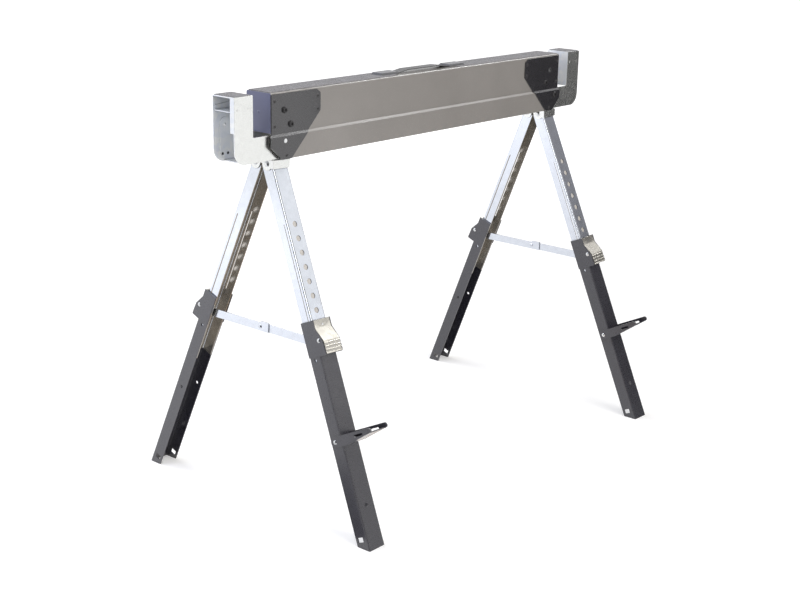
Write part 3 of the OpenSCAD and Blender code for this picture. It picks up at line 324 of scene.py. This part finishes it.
def moulded_plastic(name, colour, shade, roughness):
    """Plastic with a fine spark-eroded grain."""
    material, tree, shader, place = start_finish(name, IOR=1.5)
    grain = add(tree, "ShaderNodeTexNoise", {"Scale": per_metre(GRAIN_MM), "Detail": 2.0}, {"Vector": place})
    tone = add(tree, "ShaderNodeMix", {FIRST: linear(shade), SECOND: linear(colour)},
               {FACTOR: grain.outputs["Fac"]}, data_type="RGBA")
    matt = add(tree, "ShaderNodeMapRange",
               {"To Min": roughness - GRAIN_SPREAD, "To Max": roughness + GRAIN_SPREAD},
               {"Value": grain.outputs["Fac"]})
    bump = add(tree, "ShaderNodeBump", {"Strength": GRAIN_STRENGTH, "Distance": GRAIN_HEIGHT_MM * MM},
               {"Height": grain.outputs["Fac"]})
    plug(tree, shader, {"Base Color": tone.outputs[RESULT],
                        "Roughness": matt.outputs["Result"], "Normal": bump.outputs["Normal"]})
    return material


bolt_black = black_oxide("black_oxide_steel", "#4a494a", "#39393a")
strap_plastic = moulded_plastic("soft_moulded_strap", "#5a5a5c", "#4a4a4c", 0.5)
cap_plastic = moulded_plastic("hard_moulded_cap", "#77787c", "#6c6d71", 0.42)
finish_of_slot = {
    "beam_paint": beam_coat,
    "grip_tape": tape,
    "end_cap_paint": cap_coat,
    "zinc_hardware": zinc_plate,
    "plate_paint": plate_coat,
    "black_bolts": bolt_black,
    "handle_web": strap_plastic,
    "handle_ends": cap_plastic,
    "galvanised_steel": galvanised,
    "satin_zinc": satin_zinc,
    "leg_paint": leg_coat,
    "lever_zinc": lever_zinc,
}
print("finishes:", sorted(finish_of_slot))

# %% [markdown]
# Sheared and bent sheet never has a razor edge: a small burr is tumbled off and the paint rounds the
# rest, so each edge catches a thread of light. The CAD solids have sharp edges, and their meshes are
# loose triangles that must stay as they are. So each sheet piece is copied, its triangles are merged
# and dissolved back to flat faces, and its sharp edges get a narrow round bevel. The rims of the height
# holes are drawn in further. The copy rides on the same body and replaces the solid.

# %% Round the sheet edges
MERGE = 0.001 * MM
FLAT_ANGLE, SHARP_ANGLE, SMOOTH_ANGLE = (math.radians(a) for a in (0.5, 32, 36))
SHEET_EDGE_MM, SHEET_EDGE_STEPS = 0.35, 2
HOLE_RIM_MM, HOLE_RIM_STEPS = 1.1, 4
RIM_SEGMENT_MM, WEB_AREA_MM2 = 2.5, 2000
WEB_OUT_SHARE, WEB_UP_SHARE = 0.8, 0.2  # how far the outer face of a leg's web looks out and up


def on_hole_rim(edge):
    """True for an edge round a hole in the outer face of a leg's web, which leans out and up."""
    flat = max(edge.link_faces, key=lambda face: face.calc_area())
    wide = flat.calc_area() > WEB_AREA_MM2 * MM * MM
    short = edge.calc_length() < RIM_SEGMENT_MM * MM
    return wide and short and abs(flat.normal.y) > WEB_OUT_SHARE and flat.normal.z > WEB_UP_SHARE


def round_edges(shape, edges, size_mm, steps):
    """Rounds a list of edges."""
    bmesh.ops.bevel(shape, geom=edges, offset=size_mm * MM, offset_type="OFFSET", affect="EDGES",
                    segments=steps, profile=0.5, material=-1, clamp_overlap=True)


def rounded(node_name):
    """A copy of a CAD node with its sharp edges rounded, which takes the node's place."""
    mesh = nodes[node_name].data.copy()
    mesh.name = node_name + "_rounded"
    shape = bmesh.new()
    shape.from_mesh(mesh)
    bmesh.ops.remove_doubles(shape, verts=shape.verts, dist=MERGE)
    bmesh.ops.dissolve_limit(shape, angle_limit=FLAT_ANGLE, verts=shape.verts, edges=shape.edges)
    sharp = [e for e in shape.edges if len(e.link_faces) == 2 and e.calc_face_angle(0) > SHARP_ANGLE]
    rims = [e for e in sharp if node_name.startswith("upper_leg") and on_hole_rim(e)]
    plain = [e for e in sharp if e not in rims]
    round_edges(shape, rims, HOLE_RIM_MM, HOLE_RIM_STEPS)
    round_edges(shape, [e for e in plain if e.is_valid], SHEET_EDGE_MM, SHEET_EDGE_STEPS)
    for face in shape.faces:
        face.smooth = True
    shape.to_mesh(mesh)
    shape.free()
    mesh.set_sharp_from_angle(angle=SMOOTH_ANGLE)
    piece = bpy.data.objects.new(mesh.name, mesh)
    scene.collection.objects.link(piece)
    shading = piece.modifiers.new("flat_faces_stay_flat", "WEIGHTED_NORMAL")
    shading.mode = "FACE_AREA"
    shading.keep_sharp = True
    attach(piece, body_of_node[node_name])
    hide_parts(node_name)
    return piece


def dress(piece, finish):
    """Puts one finish on a piece."""
    piece.data.materials.clear()
    piece.data.materials.append(finish)


sheet_words = ("beam_shell", "end_caps", "plate_front", "plate_back", "bracket_left", "bracket_right",
               "shelf", "hanger", "upper_leg", "lower_leg", "clip", "lever_", "link", "arm_f",
               "handle_caps", "handle_strap")
pieces = {}
for name in sorted(nodes):
    if name.startswith(sheet_words) and not name.startswith("lever_pin"):
        pieces[name] = rounded(name)
    else:
        pieces[name] = nodes[name]
    dress(pieces[name], bolt_black if name == "plate_rivets" else finish_of_slot[slot_of_node[name]])
print("rounded", sum(p.name.endswith("_rounded") for p in pieces.values()), "pieces,",
      sum(len(p.data.polygons) for p in pieces.values()), "faces in all")

# %% [markdown]
# The height holes are punched after the sheet is galvanised, so their walls and drawn-in rims are bare
# steel, drawn here far darker than bare steel as painted shade in the holes. The inside of a leg gets a
# darker, browner copy of the zinc, which is painted shade inside the channel, with a slightly duller
# finish. In the leg's own directions, the faces of the holes lie near the middle of the web and not flat
# in it, and the inner faces look towards the middle of the leg. Each kind gets a finish of its own.

# %% Holes and insides of the upper legs
HOLE_ZONE_MM, FLAT_SHARE = 7.5, 0.9
OUTSIDE, IN_HOLE, INSIDE = range(3)
joint_of = {joint["name"]: joint for joint in frame["joints"]}


def part_of_leg(face, middle, across, out):
    """Tells the outside of a leg from its holes and its inside."""
    sideways = (face.center - middle).dot(across)
    if abs(sideways) < HOLE_ZONE_MM * MM and abs(face.normal.dot(out)) < FLAT_SHARE:
        return IN_HOLE
    if face.normal.dot(out) < -FLAT_SHARE:
        return INSIDE
    if face.normal.dot(across) * sideways < -FLAT_SHARE * abs(sideways):
        return INSIDE
    return OUTSIDE


for corner in ("fl", "fr", "bl", "br"):
    mesh = pieces["upper_leg_" + corner].data
    mesh.materials.append(steel_with_painted_hole_shade)
    mesh.materials.append(zinc_with_painted_inside_shade)
    hinge = joint_of["spread_" + corner]
    middle, across = Vector(hinge["pos_m"]), Vector(hinge["axis"])
    out = across.cross(Vector(joint_of["height_" + corner]["axis"]))
    if out.y * middle.y < 0:
        out = -out
    for face in mesh.polygons:
        face.material_index = part_of_leg(face, middle, across, out)
    used = [face.material_index for face in mesh.polygons]
    print("upper_leg_" + corner, used.count(IN_HOLE), "faces in holes,", used.count(INSIDE), "inside")

# %% [markdown]
# The end brackets are rolled bright on their outer side only. Their inner side keeps the dull zinc of
# the bath, which scatters the light that falls into the post. Inner faces are those that look towards
# the middle of the bracket, and the trays that lie there.

# %% Dull zinc inside the brackets
TRAY_HALF_MM = 20  # the trays' flat faces lie within this distance of the middle

for name in ("bracket_left", "bracket_right", "shelf_left", "shelf_right"):
    mesh = pieces[name].data
    mesh.materials.append(dull_zinc)
    for face in mesh.polygons:
        if face.center.y * face.normal.y < 0 or abs(face.center.y) < TRAY_HALF_MM * MM:
            face.material_index = 1
    print(name, sum(face.material_index for face in mesh.polygons), "dull faces")

# %% [markdown]
# One hole at each end of the beam is closed by a zinc sleeve on either side, and the sleeve's flat end
# shows in the hole. It is turned as a short cylinder with a rounded rim.

# %% Zinc sleeves
SLEEVE_R_MM, SLEEVE_L_MM, SLEEVE_FACETS = 4.5, 2.0, 32
SLEEVE_RIM_MM, SLEEVE_RIM_STEPS = 0.4, 2
SLEEVE_PLACES_MM = ((-416, 34.6, 709.8), (416, 31.1, 765.8))  # along the beam, out from its middle, up
QUARTER_TURN = Matrix.Rotation(math.pi / 2, 3, "X")

for side_name, side in (("front", -1), ("back", 1)):
    sleeves = bmesh.new()
    for x, y, z in SLEEVE_PLACES_MM:
        made = bmesh.ops.create_cone(sleeves, cap_ends=True, segments=SLEEVE_FACETS, depth=SLEEVE_L_MM * MM,
                                     radius1=SLEEVE_R_MM * MM, radius2=SLEEVE_R_MM * MM)["verts"]
        bmesh.ops.rotate(sleeves, verts=made, cent=(0, 0, 0), matrix=QUARTER_TURN)
        bmesh.ops.translate(sleeves, verts=made, vec=Vector((x, side * y, z)) * MM)
    rims = [e for e in sleeves.edges if e.calc_face_angle(0) > SHARP_ANGLE]
    round_edges(sleeves, rims, SLEEVE_RIM_MM, SLEEVE_RIM_STEPS)
    mesh = bpy.data.meshes.new("zinc_sleeves_" + side_name)
    sleeves.to_mesh(mesh)
    sleeves.free()
    piece = bpy.data.objects.new(mesh.name, mesh)
    scene.collection.objects.link(piece)
    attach(piece, "beam")
    dress(piece, zinc_plate)
    print(piece.name, len(mesh.polygons), "faces")

# %% [markdown]
# The studio is a pale floor that fills the view and a white surround. The floor keeps the shadow; for
# the camera and for reflections it glows a little, more so far away where the lamps don't reach, so that
# it reads as white right up to the top of the picture.

# %% Floor and surround
WHITE = linear("#ffffff")
FLOOR_HALF = 30.0
GLOW_NEAR, GLOW_FAR = (1.2, 0.24), (4.2, 0.75)  # distance from the middle, strength
SURROUND_LIGHT, SURROUND_SEEN = 0.4, 1.0


def seen_directly(tree):
    """1 for camera, glossy and transmission rays, else 0."""
    rays = add(tree, "ShaderNodeLightPath").outputs
    seen = add(tree, "ShaderNodeMath", links={0: rays["Is Camera Ray"], 1: rays["Is Glossy Ray"]},
               operation="MAXIMUM")
    return add(tree, "ShaderNodeMath", links={0: seen.outputs["Value"], 1: rays["Is Transmission Ray"]},
               operation="MAXIMUM").outputs["Value"]


def stage_piece(name, shape, finish):
    """Turns a bmesh into a piece of the stage."""
    mesh = bpy.data.meshes.new(name)
    shape.to_mesh(mesh)
    shape.free()
    made = bpy.data.objects.new(name, mesh)
    scene.collection.objects.link(made)
    dress(made, finish)
    return made


floor_finish, tree, shader, place = start_finish(
    "matt_white_floor", Base_Color=linear("#f2f2f2"), Roughness=0.9, Emission_Color=WHITE)
away = add(tree, "ShaderNodeVectorMath", links={0: place}, operation="LENGTH")
rise = add(tree, "ShaderNodeMapRange",
           {"From Min": GLOW_NEAR[0], "From Max": GLOW_FAR[0],
            "To Min": GLOW_NEAR[1], "To Max": GLOW_FAR[1]},
           {"Value": away.outputs["Value"]}, interpolation_type="SMOOTHSTEP")
glow = add(tree, "ShaderNodeMath", links={0: seen_directly(tree), 1: rise.outputs["Result"]},
           operation="MULTIPLY")
plug(tree, shader, {"Emission Strength": glow.outputs["Value"]})
floor_shape = bmesh.new()
bmesh.ops.create_grid(floor_shape, x_segments=1, y_segments=1, size=FLOOR_HALF)
stage_piece("studio_floor", floor_shape, floor_finish)

world = bpy.data.worlds.new("white_surround")
scene.world = world
world.use_nodes = True
tree = world.node_tree
level = add(tree, "ShaderNodeMapRange", {"To Min": SURROUND_LIGHT, "To Max": SURROUND_SEEN},
            {"Value": seen_directly(tree)})
tree.nodes["Background"].inputs["Color"].default_value = WHITE
plug(tree, tree.nodes["Background"], {"Strength": level.outputs["Result"]})
print("floor and surround made")

# %% [markdown]
# Bright metal in an all-white room looks like paper. So dark cards stand round it and brown and grey
# strips lie under it, seen in reflections only: they paint darker reflections, so that bends get a dark
# line beside the white one and insides go dark. A flap on the floor carries a card's painted dark on
# towards the object. Cards that glow though they are no lamps paint reflections and highlights: a low
# white one paints a pale reflection on the webs of the left legs, high bright ones paint a white line
# along the bends and the crease of the beam, and a small dimly glowing one keeps that line out of the
# left lever. These cards are seen in reflections only: they cast no shadow, and no camera sees them.

# %% Cards and strips that paint reflections and highlights
FLAP_LIFT = 1 * MM
FULL_HEIGHT, KNEE_HEIGHT, CHEST_HEIGHT = (FLAP_LIFT, 2.4), (FLAP_LIFT, 0.8), (0.8, 2.4)
LOW_HEIGHT, LEVER_HEIGHT = (0.75, 1.5), (0.5, 0.78)
LINE_HEIGHT, TALL_HEIGHT = (2.6, 3.6), (2.8, 4.4)


def only_reflected(made):
    """Hides a stage piece from everything but glossy rays."""
    for ray in ("camera", "diffuse", "transmission", "shadow"):
        setattr(made, "visible_" + ray, False)


def card(name, start, end, heights, finish, flap=None):
    """An upright card above two points, with a flap in front that ends at two more points."""
    shape = bmesh.new()
    feet = [shape.verts.new((*point, heights[0])) for point in (start, end)]
    grown = bmesh.ops.extrude_edge_only(shape, edges=[shape.edges.new(feet)])["geom"]
    bmesh.ops.translate(shape, vec=(0, 0, heights[1] - heights[0]),
                        verts=[v for v in grown if isinstance(v, bmesh.types.BMVert)])
    if flap:
        shape.faces.new([feet[1], feet[0]] + [shape.verts.new((*point, heights[0])) for point in flap])
    only_reflected(stage_piece(name, shape, finish))


def painted_reflection_strip(name, middle, length, width, degrees, finish):
    """A strip on the floor that paints a reflection, turned about its middle."""
    shape = bmesh.new()
    bmesh.ops.create_grid(shape, x_segments=1, y_segments=1, size=0.5)
    bmesh.ops.scale(shape, vec=(length, width, 1), verts=shape.verts)
    bmesh.ops.rotate(shape, verts=shape.verts, cent=(0, 0, 0),
                     matrix=Matrix.Rotation(math.radians(degrees), 3, "Z"))
    bmesh.ops.translate(shape, vec=(*middle, FLAP_LIFT), verts=shape.verts)
    only_reflected(stage_piece(name, shape, finish))


def glowing(name, colour, strength):
    """A finish that glows white though it is no lamp, for painted reflections and highlights."""
    return start_finish(name, Base_Color=linear(colour), Emission_Color=WHITE,
                        Emission_Strength=strength)[0]


# These finishes are seen in reflections only: the dark and grey ones paint dark reflections, the brown one paints
# a brown reflection, and the glowing ones paint pale reflections and white highlights.
dark_reflection_finish = start_finish("black_finish_for_painted_reflection", Base_Color=linear("#1c1c1e"), Roughness=0.9)[0]
grey_reflection_finish = start_finish("grey_finish_for_painted_reflection", Base_Color=linear("#8c8c90"), Roughness=0.9)[0]
brown_painted_reflection = start_finish("brown_painted_reflection", Base_Color=linear("#b8946a"), Roughness=1.0)[0]
pale_reflection_glow = glowing("white_glow_for_painted_reflection", "#ffffff", 0.5)
dim_reflection_glow = glowing("dim_glow_for_painted_reflection", "#000000", 1.25)
bright_highlight_glow = glowing("bright_glow_for_painted_highlight", "#ffffff", 11.0)
brightest_highlight_glow = glowing("brightest_glow_for_painted_highlight", "#ffffff", 17.0)

# Each card paints a reflection or a highlight; it lights nothing and casts no shadow.
card("card_left", (-2.5, 1.05), (-2.5, -1.05), FULL_HEIGHT, dark_reflection_finish, flap=((-1.0, 0.2), (-1.0, -0.4)))
card("card_front", (-1.5, -2.5), (0.75, -2.5), FULL_HEIGHT, dark_reflection_finish)
card("card_right", (1.5, -0.1), (3.0, -2.9), KNEE_HEIGHT, dark_reflection_finish, flap=((1.25, -0.4), (1.9, -1.6)))
card("card_right_high", (1.5, -0.1), (3.0, -2.9), CHEST_HEIGHT, grey_reflection_finish)
card("card_low", (1.39, -2.5), (1.89, -2.02), LOW_HEIGHT, pale_reflection_glow)
card("card_lever", (-0.224, -0.405), (-0.156, -0.175), LEVER_HEIGHT, dim_reflection_glow)
card("card_line", (2.66, -2.26), (3.48, -0.22), LINE_HEIGHT, bright_highlight_glow)
card("card_top_line", (3.48, -0.22), (3.25, 0.85), TALL_HEIGHT, brightest_highlight_glow)
# Strips on the floor that paint brown and grey reflections.
painted_reflection_strip("reflection_strip_under", (0.06, -0.165), 0.55, 0.14, -42, brown_painted_reflection)
painted_reflection_strip("reflection_strip_left", (-0.62, -0.09), 0.4, 0.12, -48, grey_reflection_finish)
print("cards and felt made")

# %% [markdown]
# The light is four soft panels: a warm one in front lights the front faces, a cool one at the left lights
# the end faces, one behind lights the top and the backs, and a small one behind the camera reaches into
# the posts and draws the white strip along the bends of the legs.

# %% Lamps
def panel(name, place, size, watts, colour):
    """A soft square lamp that faces the middle of the object."""
    lamp = bpy.data.lights.new(name, "AREA")
    lamp.shape = "SQUARE"
    lamp.size = size
    lamp.energy = watts
    lamp.color = linear(colour)[:3]
    made = bpy.data.objects.new(name, lamp)
    scene.collection.objects.link(made)
    middle = (cad_low + cad_high) / 2
    made.location = place
    made.rotation_mode = "QUATERNION"
    made.rotation_quaternion = (middle - Vector(place)).to_track_quat("-Z", "Y")


panel("key_panel", (-0.2, -3.4, 2.9), 2.8, 95, "#fffaf4")
panel("camera_panel", (-3.2, -2.7, 1.8), 1.4, 34, "#ffffff")
panel("fill_panel", (-3.2, 1.4, 2.4), 2.6, 58, "#e6ebff")
panel("back_panel", (-0.6, 3.2, 2.6), 2.8, 80, "#ffffff")
print("lamps made")

# %% [markdown]
# The plain Standard transform shows a colour about as it is written. The dressed part has to stay
# within the box of the CAD model.

# %% View settings
scene.view_settings.view_transform = "Standard"
